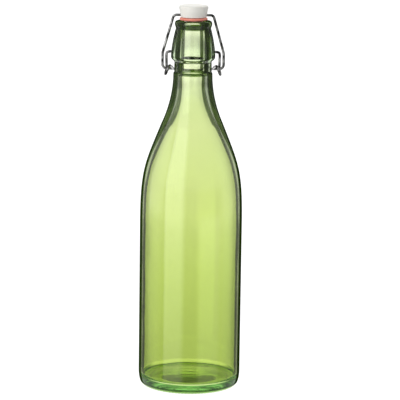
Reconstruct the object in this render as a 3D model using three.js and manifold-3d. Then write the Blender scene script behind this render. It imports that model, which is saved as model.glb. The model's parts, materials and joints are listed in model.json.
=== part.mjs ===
// Swing top bottle: a pressed glass bottle closed by a stopper on a sprung wire bail.
// Millimetres, +Z up. The origin is the centre of the circle the bottle stands on.
// +X runs along the lever's pivot, and the lever's thumb loop is at the back, at +Y.

import * as THREE from 'three';
import { mergeVertices } from 'three/addons/utils/BufferGeometryUtils.js';
import Module from 'manifold-3d';

const wasm = await Module();
wasm.setup();

// Bottle
const BODY_RADIUS = 41.25;
const BODY_WALL = 2.5;
const LIP_HEIGHT = 298;
const NECK_RADIUS = 14.85;
const BORE_RADIUS = 10.4;
const FOOT_INNER_RADIUS = 32.5;
const FOOT_OUTER_RADIUS = 36.8;
const PUNT_HEIGHT = 5.5;
const BASE_THICKNESS = 4.6;
const SHOULDER_BOTTOM = 134;
const SHOULDER_TOP = 256.2;
const FLARE = { radius: 24.9, height: 214.6 };
const FLARE_WALL = 3.6;
const BOTTLE_SEGMENTS = 40;

// Closure
const GAP = 0.3;
const WIRE_RADIUS = 1.05;
const PIVOT_HEIGHT = 273;
const SOCKET_RADIUS = 1.45;
const SOCKET_FLOOR = 14.9;
const BORE_WIRE_HEIGHT = 302.5;
const BORE_WIRE_RADIUS = 1.3;
const EYE_RADIUS = 3.45;
const EYE_HEIGHT = 258.3;
const HOOK_HEIGHT = EYE_HEIGHT + EYE_RADIUS - 2 * WIRE_RADIUS - GAP;
const DOWN_WIRE_X = 21.3;
const BAIL_LEG_X = 24.5;
const THUMB_REACH = 28.5;

// Stopper and its rubber ring
const HEAD_TOP = 311;
const HEAD_BOTTOM = 300.75;
const HEAD_TOP_RADIUS = 11.8;
const HEAD_BOTTOM_RADIUS = 10.2;
const SEAT_RADIUS = 6;
const RETAINER_RADIUS = 7.6;
const RETAINER_TOP = 297.8;
const NOSE_BOTTOM = 294.8;
const GASKET_RADIUS = 11.15;
const GASKET_BOTTOM = LIP_HEIGHT + GAP;
const GASKET_TOP = HEAD_BOTTOM - GAP;
const ROUND_SEGMENTS = 40;

function material(color, roughness, metalness) {
  return new THREE.MeshStandardMaterial({ color, roughness, metalness });
}

// Turns an outline of radius and height about the vertical axis.
function turned(outline, divisions, segments) {
  const geometry = new THREE.LatheGeometry(outline.getPoints(divisions), segments);
  return geometry.rotateX(Math.PI / 2);
}

// A closed geometry as a solid for cutting, with shared corners merged.
function toSolid(source) {
  const bare = source.clone();
  bare.deleteAttribute('normal');
  bare.deleteAttribute('uv');
  const merged = mergeVertices(bare, 1e-4);
  const corners = merged.index.array;
  const triVerts = [];
  for (let i = 0; i < corners.length; i += 3) {
    const [a, b, c] = corners.subarray(i, i + 3);
    if (a !== b && b !== c && c !== a) triVerts.push(a, b, c);
  }
  return new wasm.Manifold(new wasm.Mesh({
    numProp: 3,
    vertProperties: new Float32Array(merged.attributes.position.array),
    triVerts: new Uint32Array(triVerts),
  }));
}

function toGeometry(solid) {
  const mesh = solid.getMesh();
  const geometry = new THREE.BufferGeometry();
  geometry.setAttribute('position', new THREE.BufferAttribute(mesh.vertProperties, 3));
  geometry.setIndex(new THREE.BufferAttribute(mesh.triVerts, 1));
  geometry.computeVertexNormals();
  return geometry;
}

// A round rod along X, between two places on it.
function rodAlongX(radius, from, to, height, sides) {
  const rod = new THREE.CylinderGeometry(radius, radius, to - from, sides);
  rod.rotateZ(Math.PI / 2);
  return rod.translate((from + to) / 2, 0, height);
}

// The glass outside: push-up, foot, heel, wall, shoulder, neck, shroud and lip.
function drawOutside(outline) {
  outline.moveTo(0, PUNT_HEIGHT);
  outline.bezierCurveTo(14, PUNT_HEIGHT, 26, 3, FOOT_INNER_RADIUS, 0);
  outline.lineTo(FOOT_OUTER_RADIUS, 0);
  outline.bezierCurveTo(39.8, 0, BODY_RADIUS, 3.5, BODY_RADIUS, 12);
  outline.lineTo(BODY_RADIUS, SHOULDER_BOTTOM);
  outline.bezierCurveTo(BODY_RADIUS, 177.4, 37.7, 182.6, FLARE.radius, FLARE.height);
  outline.bezierCurveTo(24.1, 216.6, 15.4, 233.6, 15.4, SHOULDER_TOP);
  outline.lineTo(NECK_RADIUS, SHOULDER_TOP + 0.6);
  outline.lineTo(NECK_RADIUS, 265);
  outline.bezierCurveTo(15.1, 267, 17.6, 266.6, 17.6, 269.5);
  outline.bezierCurveTo(17.6, 276, 15.4, 287, 14, 291.5);
  outline.bezierCurveTo(13.8, 293, 14.8, 293.6, 14.8, 295.6);
  outline.bezierCurveTo(14.8, 297.2, 14.1, LIP_HEIGHT, 12.8, LIP_HEIGHT);
}

// The glass inside, from the lip down the bore to the middle of the floor.
function drawInside(outline) {
  const inner = BODY_RADIUS - BODY_WALL;
  const floor = PUNT_HEIGHT + BASE_THICKNESS;
  outline.lineTo(11.2, LIP_HEIGHT);
  outline.bezierCurveTo(10.7, LIP_HEIGHT, BORE_RADIUS, 297.4, BORE_RADIUS, 296.2);
  outline.lineTo(BORE_RADIUS, 247);
  outline.bezierCurveTo(BORE_RADIUS, 230, 20.3, 215.6, FLARE.radius - FLARE_WALL, FLARE.height - 1.2);
  outline.bezierCurveTo(34.3, 181, inner, 175, inner, SHOULDER_BOTTOM);
  outline.lineTo(inner, 11.5);
  outline.bezierCurveTo(inner, 8.4, 37.4, 7, 34.6, 7);
  outline.bezierCurveTo(26, 7, 14, floor, 0, floor);
}

function bottleGeometry() {
  const outline = new THREE.Path();
  drawOutside(outline);
  drawInside(outline);
  const glass = toSolid(turned(outline, 6, BOTTLE_SEGMENTS));
  const right = toSolid(rodAlongX(SOCKET_RADIUS, SOCKET_FLOOR, 19, PIVOT_HEIGHT, 12));
  const left = toSolid(rodAlongX(SOCKET_RADIUS, -19, -SOCKET_FLOOR, PIVOT_HEIGHT, 12));
  return toGeometry(glass.subtract(right).subtract(left));
}

// The stopper: nose, retaining flange, seat for the ring, flared head with a domed top.
function stopperGeometry() {
  const outline = new THREE.Path();
  outline.moveTo(0, NOSE_BOTTOM);
  outline.lineTo(4.6, NOSE_BOTTOM);
  outline.quadraticCurveTo(6, NOSE_BOTTOM, 6.1, 295.9);
  outline.lineTo(6.2, 296.6);
  outline.lineTo(RETAINER_RADIUS - 0.3, 296.8);
  outline.lineTo(RETAINER_RADIUS, 297.1);
  outline.lineTo(RETAINER_RADIUS, RETAINER_TOP);
  outline.lineTo(SEAT_RADIUS, RETAINER_TOP);
  outline.lineTo(SEAT_RADIUS, HEAD_BOTTOM);
  outline.lineTo(HEAD_BOTTOM_RADIUS - 0.6, HEAD_BOTTOM);
  outline.quadraticCurveTo(HEAD_BOTTOM_RADIUS, HEAD_BOTTOM, HEAD_BOTTOM_RADIUS + 0.1, 301.4);
  outline.lineTo(HEAD_TOP_RADIUS, 308.9);
  outline.quadraticCurveTo(HEAD_TOP_RADIUS + 0.1, 310.2, HEAD_TOP_RADIUS - 1.4, 310.4);
  outline.quadraticCurveTo(5, HEAD_TOP, 0, HEAD_TOP);
  const body = toSolid(turned(outline, 4, ROUND_SEGMENTS));
  const bore = toSolid(rodAlongX(BORE_WIRE_RADIUS, -15, 15, BORE_WIRE_HEIGHT, 12));
  return toGeometry(body.subtract(bore));
}

// The rubber ring: a flat washer with a rounded rim, loose on the stopper's seat.
function gasketGeometry() {
  const inner = SEAT_RADIUS + GAP;
  const middle = (GASKET_BOTTOM + GASKET_TOP) / 2;
  const outline = new THREE.Path();
  outline.moveTo(inner, GASKET_BOTTOM);
  outline.lineTo(GASKET_RADIUS - 0.9, GASKET_BOTTOM);
  outline.quadraticCurveTo(GASKET_RADIUS, GASKET_BOTTOM, GASKET_RADIUS, middle);
  outline.quadraticCurveTo(GASKET_RADIUS, GASKET_TOP, GASKET_RADIUS - 0.9, GASKET_TOP);
  outline.lineTo(inner, GASKET_TOP);
  outline.lineTo(inner, GASKET_BOTTOM);
  return turned(outline, 3, ROUND_SEGMENTS);
}

// A round wire that follows a curve.
function wireGeometry(curve, steps) {
  const section = new THREE.Shape();
  section.absarc(0, 0, WIRE_RADIUS, 0, 2 * Math.PI);
  return new THREE.ExtrudeGeometry(section, {
    steps,
    curveSegments: 4,
    bevelEnabled: false,
    extrudePath: curve,
  });
}

// Half of a symmetric route continued by its mirror image in the plane x = 0.
function mirrored(half) {
  const other = half.map((p) => new THREE.Vector3(-p.x, p.y, p.z)).reverse();
  return half.concat(other);
}

// A route of straight stretches with rounded corners; each corner is [x, z, bend radius].
function roundedRoute(start, corners, end) {
  const route = new THREE.CurvePath();
  const places = [start, ...corners.map(([x, z]) => new THREE.Vector3(x, 0, z)), end];
  let from = start;
  corners.forEach(([, , radius], i) => {
    const corner = places[i + 1];
    const back = places[i].clone().sub(corner).normalize();
    const ahead = places[i + 2].clone().sub(corner).normalize();
    const reach = radius / Math.tan(back.angleTo(ahead) / 2);
    const enter = corner.clone().addScaledVector(back, reach);
    const leave = corner.clone().addScaledVector(ahead, reach);
    route.add(new THREE.LineCurve3(from, enter));
    route.add(new THREE.QuadraticBezierCurve3(enter, corner, leave));
    from = leave;
  });
  route.add(new THREE.LineCurve3(from, end));
  return route;
}

// The bail: through the stopper, down both sides, hooked inwards through the lever's eyes.
function bailGeometry() {
  const tip = 16.9;
  const sides = [[BAIL_LEG_X, HOOK_HEIGHT, 3.5], [BAIL_LEG_X, 272, 8], [15.8, BORE_WIRE_HEIGHT, 3]];
  const otherSide = sides.map(([x, z, radius]) => [-x, z, radius]).reverse();
  const start = new THREE.Vector3(tip, 0, HOOK_HEIGHT);
  const end = new THREE.Vector3(-tip, 0, HOOK_HEIGHT);
  return wireGeometry(roundedRoute(start, [...sides, ...otherSide], end), 104);
}

// One side of the lever, from its pivot end through three quarters of a turn round the eye
// and back to the middle of the thumb loop.
function leverHalf() {
  const turn = 1.5 * Math.PI;
  const stepsInEye = 9;
  const half = [
    new THREE.Vector3(SOCKET_FLOOR + GAP, 0, PIVOT_HEIGHT),
    new THREE.Vector3(19, 0, PIVOT_HEIGHT),
    new THREE.Vector3(20.8, 0.2, PIVOT_HEIGHT - 0.7),
    new THREE.Vector3(DOWN_WIRE_X, 0.7, PIVOT_HEIGHT - 2.6),
    new THREE.Vector3(DOWN_WIRE_X, 2.4, PIVOT_HEIGHT - 8),
  ];
  for (let i = 0; i <= stepsInEye; i += 1) {
    const share = i / stepsInEye;
    const angle = turn * share;
    const x = DOWN_WIRE_X + 0.9 * Math.sin(angle) - 1.6 * share ** 2;
    const y = EYE_RADIUS * Math.cos(angle);
    const z = EYE_HEIGHT - EYE_RADIUS * Math.sin(angle);
    half.push(new THREE.Vector3(x, y, z));
  }
  half.push(
    new THREE.Vector3(18.1, 5, 261),
    new THREE.Vector3(17, 12.5, 259.2),
    new THREE.Vector3(16.5, 19, 257.5),
    new THREE.Vector3(14.2, THUMB_REACH - 4, 255.7),
    new THREE.Vector3(7.5, THUMB_REACH, 254.8),
  );
  return half;
}

function leverGeometry() {
  return wireGeometry(new THREE.CatmullRomCurve3(mirrored(leverHalf()), false, 'centripetal'), 150);
}

const glass = material(0xb4d64e, 0.05, 0);
const ceramic = material(0xf4f3ee, 0.25, 0);
const rubber = material(0xe0705c, 0.6, 0);
const steel = material(0x9a9a98, 0.25, 1);

const pieces = {
  bottle: [bottleGeometry(), glass],
  stopper: [stopperGeometry(), ceramic],
  gasket: [gasketGeometry(), rubber],
  bail_wire: [bailGeometry(), steel.clone()],
  lever_wire: [leverGeometry(), steel.clone()],
};

const swingTopBottle = new THREE.Group();
for (const [name, [geometry, finish]] of Object.entries(pieces)) {
  const mesh = new THREE.Mesh(geometry, finish);
  mesh.name = name;
  swingTopBottle.add(mesh);
}

export default swingTopBottle;
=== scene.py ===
# %% [markdown]
# A swing top bottle is two trades in one object: a pressed glass bottle, turned in shape, and a closure
# bent from two wires that carries a stopper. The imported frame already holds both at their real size.
# This lesson dresses it: finer glass, real finishes and a small studio. Lengths in the outlines are in
# millimetres, as a mould maker writes them, and turn into metres when a mesh is made.

import json
import math

import bmesh
import bpy
from mathutils import Matrix, Quaternion, Vector, noise

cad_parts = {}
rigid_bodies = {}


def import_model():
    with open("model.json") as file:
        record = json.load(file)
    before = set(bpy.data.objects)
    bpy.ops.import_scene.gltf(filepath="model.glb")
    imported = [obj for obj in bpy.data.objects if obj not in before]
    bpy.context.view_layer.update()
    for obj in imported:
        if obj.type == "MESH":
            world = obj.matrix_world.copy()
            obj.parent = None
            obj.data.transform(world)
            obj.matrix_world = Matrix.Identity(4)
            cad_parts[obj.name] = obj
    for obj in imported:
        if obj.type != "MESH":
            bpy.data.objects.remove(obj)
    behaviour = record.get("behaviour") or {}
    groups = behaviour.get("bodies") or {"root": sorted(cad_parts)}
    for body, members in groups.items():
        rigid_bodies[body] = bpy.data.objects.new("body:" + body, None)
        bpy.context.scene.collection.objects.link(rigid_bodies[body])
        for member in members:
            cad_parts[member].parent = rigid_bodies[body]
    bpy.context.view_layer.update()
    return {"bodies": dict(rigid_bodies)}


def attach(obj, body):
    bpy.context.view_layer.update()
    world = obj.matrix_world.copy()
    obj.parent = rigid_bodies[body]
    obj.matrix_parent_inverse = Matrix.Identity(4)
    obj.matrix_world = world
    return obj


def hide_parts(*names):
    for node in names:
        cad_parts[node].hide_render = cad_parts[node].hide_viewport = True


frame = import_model()
MM = 0.001
print("bodies:", ", ".join(frame["bodies"]))

# %% [markdown]
# Shader sums are easier to read as Python. A small class wraps a socket, so that `1 - mask * 0.3` adds
# the Math nodes by itself, and one class holds a material and makes every other node by one method.

# %% A socket that can be added, multiplied and subtracted


class Value:
    def __init__(self, tree, socket):
        self.tree = tree
        self.socket = socket

    def join(self, operation, first, second=None):
        node = self.tree.nodes.new("ShaderNodeMath")
        node.operation = operation
        for place, item in enumerate((first, second)):
            if isinstance(item, Value):
                self.tree.links.new(item.socket, node.inputs[place])
            elif item is not None:
                node.inputs[place].default_value = item
        return Value(self.tree, node.outputs[0])

    def __add__(self, other):
        return self.join("ADD", self, other)

    def __sub__(self, other):
        return self.join("SUBTRACT", self, other)

    def __mul__(self, other):
        return self.join("MULTIPLY", self, other)

    def __rsub__(self, other):
        return self.join("SUBTRACT", other, self)

    __radd__ = __add__
    __rmul__ = __mul__


# %% A material, and the one method that adds its nodes


class Nodes:
    def __init__(self, tree):
        self.tree = tree

    def add(self, kind, settings=None, sockets=None, output=0):
        node = self.tree.nodes.new("ShaderNode" + kind)
        for name, setting in (settings or {}).items():
            if name == "stops":
                self.set_stops(node.color_ramp, setting)
            else:
                setattr(node, name, setting)
        self.feed(node, sockets or {})
        return Value(self.tree, node.outputs[output])

    def feed(self, node, sockets):
        for name, item in sockets.items():
            if isinstance(item, Value):
                self.tree.links.new(item.socket, node.inputs[name])
            else:
                node.inputs[name].default_value = item

    def set_stops(self, ramp, stops):
        while len(ramp.elements) < len(stops):
            ramp.elements.new(0.5)
        for element, (place, colour) in zip(ramp.elements, stops):
            element.position = place
            element.color = colour


class Finish(Nodes):
    def __init__(self, name):
        self.material = bpy.data.materials.new(name)
        self.material.use_nodes = True
        super().__init__(self.material.node_tree)
        self.shader = self.tree.nodes["Principled BSDF"]

    def set(self, **sockets):
        self.feed(self.shader, {name.replace("_", " "): item for name, item in sockets.items()})

    def rise(self, value, low, high):
        """0 below low, 1 above high, and smooth between."""
        smooth = {"interpolation_type": "SMOOTHSTEP"}
        return self.add("MapRange", smooth, {"Value": value, "From Min": low, "From Max": high})

    def mottle(self, scale, detail=3.0):
        place = self.add("TexCoord", output=3)
        return self.add("TexNoise", None, {"Vector": place, "Scale": scale, "Detail": detail})

    def bump(self, height, distance, strength=1.0):
        return self.add("Bump", None, {"Height": height, "Distance": distance, "Strength": strength})


# %% [markdown]
# Most of this object is turned: the glass, the stopper and the ring. An outline is drawn once, as a mould
# maker draws half a section, with straight lines and Bezier curves, and then spun about the axis. Spinning
# by hand rather than with a Screw modifier lets each point know its angle, so that the mould seams, the
# knurled foot and the slight waves of real glass go straight into the surface.

# %% Outlines


class Outline:
    def __init__(self, radius, height):
        self.points = [(radius, height)]

    def line(self, radius, height, steps=1):
        r0, z0 = self.points[-1]
        for i in range(1, steps + 1):
            t = i / steps
            self.points.append((r0 + (radius - r0) * t, z0 + (height - z0) * t))

    def curve(self, r1, z1, r2, z2, radius, height, steps=16):
        r0, z0 = self.points[-1]
        for i in range(1, steps + 1):
            t = i / steps
            s = 1 - t
            weights = (s**3, 3 * s * s * t, 3 * s * t * t, t**3)
            r = sum(w * v for w, v in zip(weights, (r0, r1, r2, radius)))
            z = sum(w * v for w, v in zip(weights, (z0, z1, z2, height)))
            self.points.append((r, z))


def new_object(name, mesh):
    obj = bpy.data.objects.new(name, mesh)
    bpy.context.scene.collection.objects.link(obj)
    return obj


def turned(name, points, segments, shaped=None, closed=False, second_from=None):
    """Spin an outline about Z. shaped(index, radius, height, angle) may move a point, and the faces
    from the ring second_from onwards take the object's second material."""
    model = bmesh.new()
    rings = []
    for index, (radius, height) in enumerate(points):
        if radius == 0:
            rings.append([model.verts.new((0, 0, height * MM))])
            continue
        ring = []
        for k in range(segments):
            angle = 2 * math.pi * k / segments
            r, z = shaped(index, radius, height, angle) if shaped else (radius, height)
            ring.append(model.verts.new((r * math.cos(angle) * MM, r * math.sin(angle) * MM, z * MM)))
        rings.append(ring)
    pairs = list(zip(rings, rings[1:]))
    if closed:
        pairs.append((rings[-1], rings[0]))
    for index, (low, high) in enumerate(pairs):
        for k in range(segments):
            n = (k + 1) % segments
            corners = [low[k % len(low)], low[n % len(low)], high[n % len(high)], high[k % len(high)]]
            face = model.faces.new(list(dict.fromkeys(corners)))
            face.material_index = 1 if second_from is not None and index >= second_from else 0
    bmesh.ops.recalc_face_normals(model, faces=model.faces)
    mesh = bpy.data.meshes.new(name)
    model.to_mesh(mesh)
    model.free()
    mesh.shade_smooth()
    return new_object(name, mesh)


# %% Cutting one mesh with another


def cut(obj, tools):
    """Take each tool away from obj and keep the result as obj's own mesh."""
    for tool in tools:
        knife = obj.modifiers.new("cut", "BOOLEAN")
        knife.object = tool
        knife.solver = "EXACT"
    bpy.context.view_layer.update()
    graph = bpy.context.evaluated_depsgraph_get()
    finished = bpy.data.meshes.new_from_object(obj.evaluated_get(graph))
    obj.modifiers.clear()
    obj.data = finished
    for tool in tools:
        bpy.data.objects.remove(tool)


def rod_along_x(radius, start, end, height, sides=32):
    model = bmesh.new()
    turn = Matrix.Rotation(math.pi / 2, 4, "Y")
    place = Matrix.Translation(((start + end) / 2 * MM, 0, height * MM))
    bmesh.ops.create_cone(
        model, cap_ends=True, segments=sides, radius1=radius * MM, radius2=radius * MM,
        depth=abs(end - start) * MM, matrix=place @ turn)
    mesh = bpy.data.meshes.new("rod")
    model.to_mesh(mesh)
    model.free()
    return new_object("rod", mesh)


# %% [markdown]
# The bottle is one closed skin of glass, outside and inside together, because a refracting shader needs to
# know where the ray enters the glass and where it leaves it. The sizes below are the mould's.

# %% The bottle's sizes
BODY_RADIUS = 41.25
WALL = 2.5
LIP_HEIGHT = 298
NECK_RADIUS = 14.85
NECK_BORE = 10.8
SHOULDER_BOTTOM = 134
FLOOR_TOP = 10.1
PUNT = 5.5
FOOT = (32.5, 36.8)
PIVOT_HEIGHT = 273
SOCKET_FLOOR = 14.9
MARK_HEIGHT = 0.35


def glass_outside():
    line = Outline(0, PUNT - MARK_HEIGHT)
    line.curve(14, PUNT, 26, 3, FOOT[0], 0, 80)
    line.line(FOOT[1], 0, steps=6)
    line.curve(39.8, 0, BODY_RADIUS, 3.5, BODY_RADIUS, 12, 28)
    line.line(BODY_RADIUS, SHOULDER_BOTTOM, steps=30)
    line.curve(BODY_RADIUS, 177.4, 37.7, 182.6, 24.9, 214.6, 32)
    line.curve(24.1, 216.6, 15.6, 233.6, 15.6, 255.0, 26)
    line.curve(15.6, 256.1, 15.4, 256.5, 14.95, 256.7, 8)
    line.curve(NECK_RADIUS, 256.8, NECK_RADIUS, 257, NECK_RADIUS, 257.6, 4)
    line.line(NECK_RADIUS, 264.4, steps=4)
    line.curve(15.0, 266.6, 17.6, 266.2, 17.6, 269.5, 14)
    line.curve(17.6, 276, 15.4, 287, 14, 291.5, 20)
    line.curve(13.8, 293, 14.8, 293.6, 14.8, 295.6, 10)
    line.curve(14.8, 297.2, 14.1, LIP_HEIGHT, 12.8, LIP_HEIGHT, 10)
    return line


def glass_inside(line):
    inner = BODY_RADIUS - WALL
    line.line(11.2, LIP_HEIGHT, steps=2)
    line.curve(10.7, LIP_HEIGHT, NECK_BORE, 297.4, NECK_BORE, 296.2, 10)
    line.line(NECK_BORE, 247, steps=16)
    line.curve(NECK_BORE, 230, 20.3, 215.6, 21.3, 213.4, 26)
    line.curve(34.3, 181, inner, 175, inner, SHOULDER_BOTTOM, 32)
    line.line(inner, 11.5, steps=30)
    line.curve(inner, 8.4, 37.4, 7, 34.6, 7, 12)
    line.curve(26, 7, 14, FLOOR_TOP, 0, FLOOR_TOP, 24)


outline = glass_outside()
first_inside = len(outline.points)
glass_inside(outline)
print("outline points:", len(outline.points))

# %% [markdown]
# Two halves of a mould meet at the sides and leave a fine seam. The foot carries a ring of small crescents,
# so that a hot bottle touches the belt at few points. The inside was shaped by air, not by a mould, so it
# waves by a tenth of a millimetre or two, and that is what makes the light inside real glass swim.

# %% Seam, knurl and waves
SEAM_HEIGHT = 0.12
KNURLS = 90
SEGMENTS = 360
KNURL_DEPTH = 0.6
BORE_DRIFT = 0.5


def mark(x, y):
    """Three raised bars under the foot, where a maker puts the mould's number."""
    inside = 0.0
    for middle in (-9, 0, 9):
        across = (7 - abs(x + 1.5)) / 0.6
        along = (2.2 - abs(y - middle)) / 0.6
        inside = max(inside, min(1.0, max(0.0, min(across, along))))
    return inside


def shape_glass(index, radius, height, angle):
    if index >= first_inside:
        place = Vector((math.cos(angle) * 1.3, math.sin(angle) * 1.3, height / 70))
        wave = noise.noise(place) + 0.35 * noise.noise(place * 3.1)
        depth = 0.12 if height < 240 else 0.05
        drift = BORE_DRIFT * min(1.0, max(0.0, (height - 225) / 20)) * math.cos(angle)
        return radius + depth * wave - drift, height
    if radius < FOOT[0] and height < PUNT + 1:
        return radius, height - MARK_HEIGHT * mark(radius * math.cos(angle), radius * math.sin(angle))
    if height < 2.2:
        crown = max(0.0, 1 - abs(radius - 36.6) / 3.6)
        return radius, height + KNURL_DEPTH * crown * (0.5 + 0.5 * math.cos(KNURLS * angle))
    seam = max(0.0, 1 - abs(math.sin(angle)) * BODY_RADIUS / 0.8)
    return radius + SEAM_HEIGHT * seam, height


bottle = turned("glass_bottle_skin", outline.points, SEGMENTS, shape_glass, second_from=first_inside)
cut(bottle, [rod_along_x(1.45, side * SOCKET_FLOOR, side * 19, PIVOT_HEIGHT) for side in (1, -1)])
bottle.data.set_sharp_from_angle(angle=math.radians(50))
print("glass faces:", len(bottle.data.polygons))

# %% [markdown]
# The glass is coloured in two ways. A volume absorbs light, so that thick glass goes deeper green, and
# the outer faces carry the tint, strongest at the foot, where the deeper green is partly painted shade.
# The inner faces stay clear, so that a ray meets the tint once as it enters and once as it leaves.
# Glass that is seen edge on reads darkest of all, and a bright studio washes that out, so that shade is
# painted on: a Layer Weight tells how edge on the surface is, and smooth ramps turn that into a painted
# dark outline and painted dark bands on the bore's wall and the shoulder. Rings at fixed heights paint
# dark shade at the bead, the step and the lines of the foot, and a painted glow lights the foot's crown.

# %% Where the painted shade and glow on the glass lie, in millimetres above the table or from the axis
CROWN = (0.2, 1.9)
CROWN_TOP = (1.6, 2.8)
FOOT_LINE = (2.3, 3.8)
HEEL = (3.6, 9)
DOTTED_SHADE = (5.2, 6.0)
WALL_START = (11, 20)
SHOULDER = (180, 240)
STEP_RING = (254.9, 256.9)
NECK_START = (256.8, 257.4)
SKIRT = (264.4, 266.6)
BEAD = (291.8, 294.4)
LIP_START = (294.6, 295.4)
HEEL_EDGE = (36.2, 37.2)

# %% How edge on the glass is where each painted mark shows: 0 faces the eye, 1 is edge on
BORE_WALL_TILT = (0.23, 0.42)
LIP_TILT = (0.15, 0.5)
HEEL_TILT = (0.26, 0.46)
GRAZING_SHADE_TILT = (0.42, 0.62)
SHOULDER_TILT = 0.65
OUTLINE_TILT = (0.67, 0.74)

# %% Green glass, with the colours of its painted shade and painted glow
# Painted shade: deep green in the dark bands and near black in the painted outline. The foot's green is a
# painted glow.
PAINTED_BAND_GREEN = (0.08, 0.15, 0.01, 1)
PAINTED_OUTLINE_GREEN = (0.016, 0.036, 0.003, 1)
PAINTED_GLOW_GREEN = (0.22, 0.27, 0.08, 1)
VOLUME_GREEN = (0.35, 0.88, 0.3, 1)
VOLUME_DENSITY = 20
FILM_SCALE = 38
TINT_HEIGHT = 300
# The tint deepens towards the foot; the darker green low down is partly painted shade.
TINT_AT_FOOT = (0.777, 0.868, 0.375)
TINT_AT_NECK = (0.885, 0.905, 0.63)
TINT_AT_LIP = (0.98, 0.99, 0.82)
WHITE = (1, 1, 1)


def glass(name, low, high, lip, paint_shade):
    """Refracting glass, tinted low at the foot, high at the neck and lip at the mouth; the deeper tint at
    the foot is partly painted shade. The last argument paints more on: dark shade where the glass is seen
    edge on and in rings at fixed heights, and a painted glow on the foot's crown, from the next function's
    masks."""
    finish = Finish(name)
    film = finish.mottle(FILM_SCALE, 2)
    place = finish.add("TexCoord", output=3)
    height = finish.add("SeparateXYZ", None, {"Vector": place}, output=2) * 1000
    middle = tuple((5 * part + other) / 6 for part, other in zip(low, high))
    skin = finish.add("ValToRGB", {"stops": [
        (0.05, (*low, 1)), (0.35, (*middle, 1)), (0.82, (*high, 1)), (0.93, (*lip, 1))]}, {
            "Fac": (height + film * 30) * (1 / TINT_HEIGHT)})
    ripple = finish.mottle(90, 2)
    finish.set(Base_Color=skin, Roughness=film * 0.02, IOR=1.5, Transmission_Weight=1.0)
    finish.set(Normal=finish.bump(ripple, 0.0002, 0.2))
    body = finish.tree.nodes.new("ShaderNodeVolumeAbsorption")
    body.inputs["Color"].default_value = VOLUME_GREEN
    body.inputs["Density"].default_value = VOLUME_DENSITY
    out = finish.tree.nodes["Material Output"]
    finish.tree.links.new(body.outputs["Volume"], out.inputs["Volume"])
    if paint_shade:
        # Painted shade: the bands mix the tint towards deep green, and an opaque dark shader is mixed in as
        # the painted dark outline.
        rim, band, foot = painted_shade_and_glow(finish, height, place)
        colours = {"data_type": "RGBA"}
        skin_with_painted_shade = finish.add("Mix", colours, {0: band, 6: skin, 7: PAINTED_BAND_GREEN}, output=2)
        # The foot's crown gets a painted glow through Emission.
        painted_glow = finish.add("Mix", colours, {0: foot, 6: (0, 0, 0, 1), 7: PAINTED_GLOW_GREEN}, output=2)
        finish.set(Base_Color=skin_with_painted_shade, Emission_Color=painted_glow, Emission_Strength=1.0)
        dark = finish.add("BsdfPrincipled", None, {
            "Base Color": PAINTED_OUTLINE_GREEN, "Roughness": 0.5, "Specular IOR Level": 0.0})
        clear = Value(finish.tree, finish.shader.outputs[0])
        blend = finish.add("MixShader", None, {0: rim, 1: clear, 2: dark})
        finish.tree.links.new(blend.socket, out.inputs["Surface"])
    return finish.material


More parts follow.
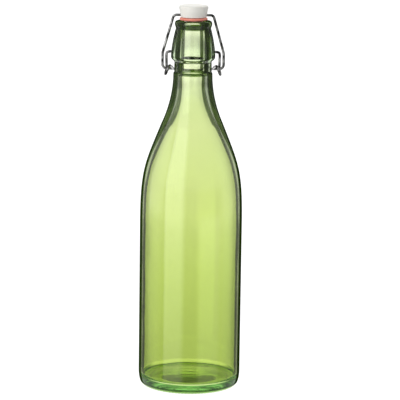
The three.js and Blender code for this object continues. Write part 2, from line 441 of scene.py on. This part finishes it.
def painted_shade_and_glow(finish, height, place):
    """Three masks of painted light and shade: the painted dark outline, the bands of painted deep
    green shade and the painted glow on the crown of the foot.
    """
    facing = finish.add("LayerWeight", None, {"Blend": 0.5}, output=1)
    rise = finish.rise

    def band(value, low, high, soft):
        return rise(value, low - soft, low) * (1 - rise(value, high, high + soft))

    x = finish.add("SeparateXYZ", None, {"Vector": place}, output=0)
    y = finish.add("SeparateXYZ", None, {"Vector": place}, output=1)
    turn = finish.add("Math", {"operation": "ARCTAN2"}, {0: x, 1: y})
    dots = finish.add("Math", {"operation": "SINE"}, {0: turn * KNURLS}) * 0.5 + 0.5
    flat = finish.add("VectorMath", {"operation": "MULTIPLY"}, {0: place, 1: (1000, 1000, 0)})
    radius = finish.add("VectorMath", {"operation": "LENGTH"}, {0: flat}, output=1)
    outer = rise(radius, *HEEL_EDGE)
    neck = rise(height, *NECK_START)
    start = SHOULDER_TILT - rise(height, *SHOULDER) * 0.35
    streak = finish.add("TexNoise", {"noise_dimensions": "4D"}, {
        "Vector": place, "W": turn * 6, "Scale": 14, "Detail": 1})
    # Each mask from here paints dark shade: at the shoulder's edge, on the bore's wall, at the bead, lip,
    # step ring and heel, along the foot line and in dots above the foot; the grazing one darkens all glass
    # seen near edge on.
    shoulder = rise(facing, start, start + 0.08) * (1 - neck) * rise(height, *WALL_START)
    wall = band(facing, *BORE_WALL_TILT, 0.05) * neck
    bead = band(height, *BEAD, 1.2)
    lip = rise(height, *LIP_START) * band(facing, *LIP_TILT, 0.06)
    ring = band(height, *STEP_RING, 0.3) * 0.9
    heel = band(height, *HEEL, 2) * rise(facing, *HEEL_TILT) * 0.9
    line = band(height, *FOOT_LINE, 0.5) * outer * 0.95
    dotted_shade = band(height, *DOTTED_SHADE, 0.4) * dots * 0.4
    depth = rise(facing, *GRAZING_SHADE_TILT) * 0.2
    total = shoulder
    for part in (depth, wall, bead, lip, ring, heel, line, dotted_shade):
        total = finish.add("Math", {"operation": "MAXIMUM"}, {0: total, 1: part})
    deep = finish.add("Math", {"operation": "MINIMUM"}, {0: total * (1.35 - streak * 0.5), 1: 1.0})
    inner = finish.add("Math", {"operation": "MAXIMUM"}, {0: wall, 1: shoulder})
    wall_side = finish.add("Math", {"operation": "MAXIMUM"}, {0: outer, 1: rise(height, *WALL_START)})
    skirt = 1 - band(height, *SKIRT, 0.3) * 0.7
    # The painted dark outline, where the glass is seen edge on, weaker at the skirt.
    outline = rise(facing, *OUTLINE_TILT) * rise(height, *CROWN_TOP) * wall_side * skirt
    rim = inner * (0.95 - streak * 0.6)
    for part in (outline, line * 0.3):
        rim = finish.add("Math", {"operation": "MAXIMUM"}, {0: rim, 1: part})
    # A painted glow on the crown of the foot, stronger on each knurl.
    foot = band(height, *CROWN, 0.5) * outer * (dots * 0.6 + 0.4)
    return rim, deep, foot


bottle.data.materials.clear()
bottle.data.materials.append(glass("green glass", TINT_AT_FOOT, TINT_AT_NECK, TINT_AT_LIP, True))
bottle.data.materials.append(glass("clear glass", WHITE, WHITE, WHITE, False))

# %% [markdown]
# The stopper is moulded in one smooth white piece: a head that flares upwards with a softly domed top, a
# seat for the rubber ring, a small flange that keeps the ring on, and a nose that finds the mouth.

# %% Stopper
BORE_WIRE_HEIGHT = 302.5
WIRE_RADIUS = 1.05


def stopper_outline():
    line = Outline(0, 294.8)
    line.line(4.6, 294.8, steps=2)
    line.curve(5.6, 294.8, 6.0, 295.1, 6.1, 295.8, 6)
    line.line(6.2, 296.6)
    line.line(7.2, 296.8)
    line.curve(7.5, 296.8, 7.6, 296.9, 7.6, 297.1, 4)
    line.line(7.6, 297.6)
    line.curve(7.6, 297.8, 7.5, 297.8, 7.3, 297.8, 3)
    line.line(6, 297.8)
    line.line(6, 300.75)
    line.line(9.6, 300.75, steps=2)
    line.curve(10.0, 300.75, 10.2, 300.9, 10.3, 301.5, 6)
    line.curve(10.7, 304, 11.4, 306.2, 11.7, 308.2, 12)
    line.curve(11.95, 309.6, 11.4, 310.3, 9.8, 310.5, 12)
    line.curve(7, 310.9, 3, 311, 0, 311, 10)
    return line


stopper = turned("white_stopper", stopper_outline().points, 128)
cut(stopper, [rod_along_x(1.3, -15, 15, BORE_WIRE_HEIGHT)])
stopper.data.set_sharp_from_angle(angle=math.radians(35))


def white_stopper():
    finish = Finish("white stopper")
    cloud = finish.mottle(60, 4)
    shade = finish.add(
        "ValToRGB", {"stops": [(0.3, (0.76, 0.75, 0.69, 1)), (0.7, (0.82, 0.81, 0.76, 1))]}, {"Fac": cloud})
    skin = finish.mottle(900, 2)
    finish.set(Base_Color=shade, Roughness=0.28 + cloud * 0.12, Normal=finish.bump(skin, 0.00004, 0.3))
    finish.set(Subsurface_Weight=0.12, Subsurface_Scale=0.002, Subsurface_Radius=(1, 0.9, 0.8))
    return finish.material


stopper.data.materials.append(white_stopper())

# %% [markdown]
# The ring is soft orange-red rubber, squeezed a little between the head and the lip, so its rim bulges.
# The fine ridge round the rim is the flash that its own mould leaves.

# %% Rubber ring


def gasket_outline():
    line = Outline(6.3, 298.35)
    line.line(9.9, 298.35, steps=3)
    line.curve(10.9, 298.35, 11.15, 298.8, 11.15, 299.35, 8)
    line.line(11.22, 299.45)
    line.line(11.15, 299.55)
    line.curve(11.15, 300.1, 10.9, 300.5, 10.1, 300.5, 8)
    line.line(6.3, 300.5, steps=3)
    return line


gasket = turned("rubber_ring", gasket_outline().points, 128, closed=True)


def red_rubber():
    finish = Finish("red rubber")
    cloud = finish.mottle(160, 5)
    shade = finish.add(
        "ValToRGB", {"stops": [(0.3, (0.83, 0.25, 0.18, 1)), (0.7, (0.9, 0.34, 0.26, 1))]}, {"Fac": cloud})
    finish.set(Base_Color=shade, Roughness=0.42 + cloud * 0.2, Normal=finish.bump(cloud, 0.0001, 0.4))
    finish.set(Subsurface_Weight=0.1, Subsurface_Scale=0.001)
    return finish.material


gasket.data.materials.append(red_rubber())

# %% [markdown]
# Both wires are bent from the same drawn steel. A wire is a circle swept along a route, and the sweep
# carries its own frame forward from point to point, so the circle never twists or flips in a bend.

# %% Sweeping a wire


def swept(name, route, radius, sides=20, slant=0.0):
    """Sweep a circle along route. slant shears the end rings, as cutting pliers do."""
    model = bmesh.new()
    tangents = []
    for i in range(len(route)):
        before = route[max(i - 1, 0)]
        after = route[min(i + 1, len(route) - 1)]
        tangents.append((after - before).normalized())
    across = tangents[0].orthogonal().normalized()
    rings = []
    for i, (place, along) in enumerate(zip(route, tangents)):
        across = (across - along * across.dot(along)).normalized()
        up = along.cross(across)
        end = -1 if i == 0 else 1 if i == len(route) - 1 else 0
        ring = []
        for k in range(sides):
            angle = 2 * math.pi * k / sides
            spoke = across * math.cos(angle) + up * math.sin(angle)
            push = along * (slant * end * spoke.z * radius)
            ring.append(model.verts.new((place + spoke * radius + push) * MM))
        rings.append(ring)
    for low, high in zip(rings, rings[1:]):
        for k in range(sides):
            n = (k + 1) % sides
            model.faces.new((low[k], low[n], high[n], high[k]))
    model.faces.new(rings[0][::-1])
    model.faces.new(rings[-1])
    bmesh.ops.recalc_face_normals(model, faces=model.faces)
    mesh = bpy.data.meshes.new(name)
    model.to_mesh(mesh)
    model.free()
    mesh.shade_smooth()
    mesh.set_sharp_from_angle(angle=math.radians(45))
    return new_object(name, mesh)


def mirrored(half):
    return half + [Vector((-p.x, p.y, p.z)) for p in reversed(half)]


# %% [markdown]
# The bail runs straight between bends made over round pegs, so its route is a chain of corners, each
# rounded with its own bend radius. It passes through the stopper, comes down both sides and hooks
# inwards through the lever's eyes.

# %% Bail wire
EYE_RADIUS = 3.45
EYE_HEIGHT = 258.3
HOOK_HEIGHT = 259.35
BAIL_LEG_X = 24.5


def rounded_route(corners, steps=10):
    """corners are (x, z, bend radius); the first and last are plain ends."""
    places = [Vector((x, 0, z)) for x, z, _ in corners]
    route = [places[0]]
    for i in range(1, len(places) - 1):
        back = (places[i - 1] - places[i]).normalized()
        ahead = (places[i + 1] - places[i]).normalized()
        half = back.angle(ahead) / 2
        reach = corners[i][2] / math.tan(half)
        centre = places[i] + (back + ahead).normalized() * corners[i][2] / math.sin(half)
        enter = places[i] + back * reach - centre
        leave = places[i] + ahead * reach - centre
        for k in range(steps + 1):
            spoke = enter.normalized().slerp(leave.normalized(), k / steps)
            route.append(centre + spoke * corners[i][2])
    route.append(places[-1])
    return route


bail_side = [(16.9, HOOK_HEIGHT, 0), (BAIL_LEG_X, HOOK_HEIGHT, 3.5), (BAIL_LEG_X, 272, 8),
             (15.8, BORE_WIRE_HEIGHT, 3)]
bail_corners = bail_side + [(-x, z, radius) for x, z, radius in reversed(bail_side)]
bail = swept("bail", rounded_route(bail_corners), WIRE_RADIUS, slant=-0.9)

# %% [markdown]
# The lever starts in the glass, turns down, winds three quarters of a turn round the eye and then runs
# back past the neck to the thumb loop. It has few straight stretches, so a smooth curve through chosen
# points suits it: Catmull and Rom's, with knots spaced by the root of the distance, never overshoots.

# %% Lever wire
DOWN_WIRE_X = 21.3
THUMB_REACH = 28.5


def through(points, steps=8):
    """A smooth curve through points, with centripetal knots."""
    ends = [points[0] * 2 - points[1]] + points + [points[-1] * 2 - points[-2]]
    route = []
    for a, b, c, d in zip(ends, ends[1:], ends[2:], ends[3:]):
        knots = [0.0]
        for p, q in ((a, b), (b, c), (c, d)):
            knots.append(knots[-1] + math.sqrt((q - p).length))
        for k in range(steps):
            t = knots[1] + (knots[2] - knots[1]) * k / steps

            def blend(p, q, i, j):
                before = (knots[j] - t) / (knots[j] - knots[i])
                after = (t - knots[i]) / (knots[j] - knots[i])
                return p * before + q * after

            ab, bc, cd = blend(a, b, 0, 1), blend(b, c, 1, 2), blend(c, d, 2, 3)
            route.append(blend(blend(ab, bc, 0, 2), blend(bc, cd, 1, 3), 1, 2))
    return route + [points[-1]]


def lever_half():
    half = [Vector(p) for p in (
        (SOCKET_FLOOR + 0.3, 0, PIVOT_HEIGHT), (19, 0, PIVOT_HEIGHT), (20.8, 0.2, PIVOT_HEIGHT - 0.7),
        (DOWN_WIRE_X, 0.7, PIVOT_HEIGHT - 2.6), (DOWN_WIRE_X, 2.4, PIVOT_HEIGHT - 8))]
    for i in range(10):
        share = i / 9
        angle = 1.5 * math.pi * share
        half.append(Vector((
            DOWN_WIRE_X + 0.9 * math.sin(angle) - 1.6 * share**2,
            EYE_RADIUS * math.cos(angle),
            EYE_HEIGHT - EYE_RADIUS * math.sin(angle))))
    half += [Vector(p) for p in (
        (18.1, 5, 261), (17, 12.5, 259.2), (16.5, 19, 257.5), (14.2, THUMB_REACH - 4, 255.7),
        (7.5, THUMB_REACH, 254.8))]
    return half


lever = swept("lever", through(mirrored(lever_half())), WIRE_RADIUS)


def steel_wire():
    finish = Finish("steel wire")
    tone = finish.mottle(220, 4)
    stops = [(0.4, (0.035, 0.035, 0.033, 1)), (0.62, (0.45, 0.45, 0.44, 1))]
    shade = finish.add("ValToRGB", {"stops": stops}, {"Fac": tone})
    scratch = finish.mottle(1500, 2)
    finish.set(Base_Color=shade, Metallic=1.0, Roughness=0.03 + tone * 0.1)
    finish.set(Normal=finish.bump(scratch, 0.00003, 0.5))
    return finish.material


wire_finish = steel_wire()
for wire in (bail, lever):
    wire.data.materials.append(wire_finish)

# %% [markdown]
# The studio is plain: a pale floor, a pale surround and two large soft lights. Glass only shows its form
# by what it bends into view, so the surround is built from directions: brightest straight behind the
# bottle, dimmer towards the sides, dark between the backdrop and the panels, as flags make it. The long
# pale streak down the glass is the reflection of one panel at the front left. The camera itself sees
# plain white there. The floor is hidden from rays through the glass, which see the surround instead,
# and the two lights model the stopper and the ring without showing in the glass or the wires.

# %% Floor


def pale_floor():
    finish = Finish("pale floor")
    finish.set(Base_Color=(0.2, 0.2, 0.2, 1), Roughness=0.7)
    finish.set(Emission_Color=(1, 1, 1, 1), Emission_Strength=0.97)
    return finish.material


floor_mesh = bpy.data.meshes.new("floor")
floor_mesh.from_pydata([(-6, -6, 0), (6, -6, 0), (6, 6, 0), (-6, 6, 0)], [], [(0, 1, 2, 3)])
floor = new_object("floor", floor_mesh)
floor.data.materials.append(pale_floor())
floor.visible_transmission = False
floor.visible_glossy = False
floor.visible_diffuse = False

# %% The patch of table under the push-up
SHADE_RADIUS = 23
SHADE_LIFT = 0.2
SHADE_GREEN = (0.0, 0.06, 0.018, 1)


def shaded_patch():
    """A disc that only the glass sees: a painted shadow that glows deep green by itself. The table inside
    the foot ring gets its light through the glass, so it is deep green."""
    mesh = bpy.data.meshes.new("shaded_table")
    model = bmesh.new()
    bmesh.ops.create_circle(model, cap_ends=True, segments=96, radius=SHADE_RADIUS * MM)
    bmesh.ops.translate(model, verts=model.verts, vec=(0, 0, SHADE_LIFT * MM))
    model.to_mesh(mesh)
    model.free()
    finish = Finish("shaded table")
    finish.set(Base_Color=(0, 0, 0, 1), Emission_Color=SHADE_GREEN, Emission_Strength=1.0)
    patch = new_object("shaded_table", mesh)
    patch.data.materials.append(finish.material)
    patch.visible_camera = False
    patch.visible_diffuse = False
    patch.visible_shadow = False


shaded_patch()

# %% Surround: azimuths in degrees from straight behind the bottle, z the sine of the elevation
DARK = 0.08
VEIL = 1.9
FLAGS = (40, 66)
BACKDROP_EDGE = (95, 115)
LEFT_END = (-112, -68)
FAR_END = (118, 152)
PANEL_START = (-171, -155)
PANEL_END = (-120, -116)
SKY_START = (0.5, 0.6)
TABLE_EDGE = (-0.36, -0.3)


def surround():
    world = bpy.data.worlds.new("surround")
    world.use_nodes = True
    bpy.context.scene.world = world
    nodes = Nodes(world.node_tree)
    direction = nodes.add("TexCoord", output=0)
    split = nodes.add("SeparateXYZ", None, {"Vector": direction}).socket.node
    x, y, z = (Value(nodes.tree, split.outputs[i]) for i in range(3))
    azimuth = nodes.add("Math", {"operation": "ARCTAN2"}, {0: x, 1: y}) * (180 / math.pi)

    def rise(value, low, high):
        """0 below low, 1 above high, and smooth between."""
        smooth = {"interpolation_type": "SMOOTHSTEP"}
        return nodes.add("MapRange", smooth, {"Value": value, "From Min": low, "From Max": high})

    def between(value, low, high, soft):
        """1 between low and high, fading to 0 over soft outside them."""
        return rise(value, low - soft, low) * (1 - rise(value, high, high + soft))

    side = nodes.add("Math", {"operation": "ABSOLUTE"}, {0: azimuth})
    ramp = nodes.add("MapRange", None, {"Value": z, "From Min": -0.25, "From Max": -0.19})
    depth = ramp * 0.3 + 0.7
    falloff = rise(side, 12, 34) * (0.32 - rise(z, -0.19, -0.16) * 0.17)
    glow = (1 - rise(side, 3, 12) * 0.25 - falloff) * depth
    gap = between(side, *FLAGS, 6) * rise(z, -0.29, -0.26) * 0.45
    back = glow * (1 - gap) * (1 - rise(side, *BACKDROP_EDGE)) * (1 - rise(z, *SKY_START))
    left_end = between(azimuth, *LEFT_END, 6) * between(z, -0.12, 0.4, 0.07) * 0.55
    far_end = between(azimuth, *FAR_END, 16) * between(z, -0.5, -0.18, 0.05) * 0.6
    lift = nodes.add("MapRange", None, {"Value": z, "From Min": -0.26, "From Max": -0.18})
    veil = lift * (VEIL - 1) + 1
    panel = rise(azimuth, *PANEL_START) * (1 - rise(azimuth, *PANEL_END))
    front = panel * (1 - rise(z, 0.6, 0.65)) * veil
    down = 1 - rise(z, *TABLE_EDGE)
    table = 0.9 + (1 - rise(side, 20, 30)) * 0.1
    sky = rise(z, *SKY_START) * 0.45
    high_front = rise(side, 100, 110) * between(z, 0.1, 0.5, 0.1) * 0.35
    around = DARK + back + left_end + far_end + high_front + front
    light = around * (1 - down) + table * down + sky
    seen = nodes.add("LightPath", output=0)
    strength = light * (1 - seen) + seen
    nodes.feed(world.node_tree.nodes["Background"], {"Color": (1, 1, 1, 1), "Strength": strength})


surround()

# %% Lights


def soft_light(name, azimuth, elevation, distance, size, power):
    data = bpy.data.lights.new(name, "AREA")
    data.shape = "RECTANGLE"
    data.size, data.size_y = size
    data.energy = power
    lamp = bpy.data.objects.new(name, data)
    bpy.context.scene.collection.objects.link(lamp)
    a, e = math.radians(azimuth), math.radians(elevation)
    away = Vector((math.sin(a) * math.cos(e), math.cos(a) * math.cos(e), math.sin(e)))
    aim = Vector((0, 0, 0.15))
    lamp.location = aim + away * distance
    lamp.rotation_euler = away.to_track_quat("Z", "Y").to_euler()
    return lamp


key = soft_light("key", 213, 18, 1.4, (1.2, 1.6), 4)
key.visible_glossy = False
key.visible_transmission = False
fill = soft_light("fill", 20, 55, 1.6, (1.5, 1.5), 15)
fill.visible_glossy = False
fill.visible_transmission = False

# %% [markdown]
# The camera stands a little under two metres away and looks slightly down, with a long lens, so the
# bottle's sides stay nearly parallel.

# %% Camera
CAMERA_DISTANCE = 1.795
CAMERA_HEIGHT = 0.492
AIM = Vector((0.0071, 0, 0.1524))
LENS = 203
ROLL = math.radians(0.8)


def place_camera():
    data = bpy.data.cameras.new("camera")
    data.lens = LENS
    data.clip_end = 20
    camera = bpy.data.objects.new("camera", data)
    bpy.context.scene.collection.objects.link(camera)
    camera.location = (0, -CAMERA_DISTANCE, CAMERA_HEIGHT)
    look = (AIM - camera.location).to_track_quat("-Z", "Y")
    camera.rotation_euler = (look @ Quaternion((0, 0, 1), ROLL)).to_euler()
    bpy.context.scene.camera = camera


place_camera()
bpy.context.scene.view_settings.view_transform = "Standard"
bpy.context.scene.cycles.glossy_bounces = 16
bpy.context.scene.cycles.transmission_bounces = 16
bpy.context.scene.cycles.max_bounces = 20

# %% [markdown]
# Last, each piece is tied to the body that moves it and takes the place of its plain solid.

# %% Rides and replaced solids
dressing = (
    (bottle, "glass_bottle", "bottle", "green_glass"),
    (stopper, "closure", "stopper", "white_stopper"),
    (gasket, "closure", "gasket", "red_rubber"),
    (bail, "bail", "bail_wire", "steel_wire"),
    (lever, "lever", "lever_wire", "steel_wire"),
)
for piece, body, node, slot in dressing:
    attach(piece, body)
    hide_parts(node)
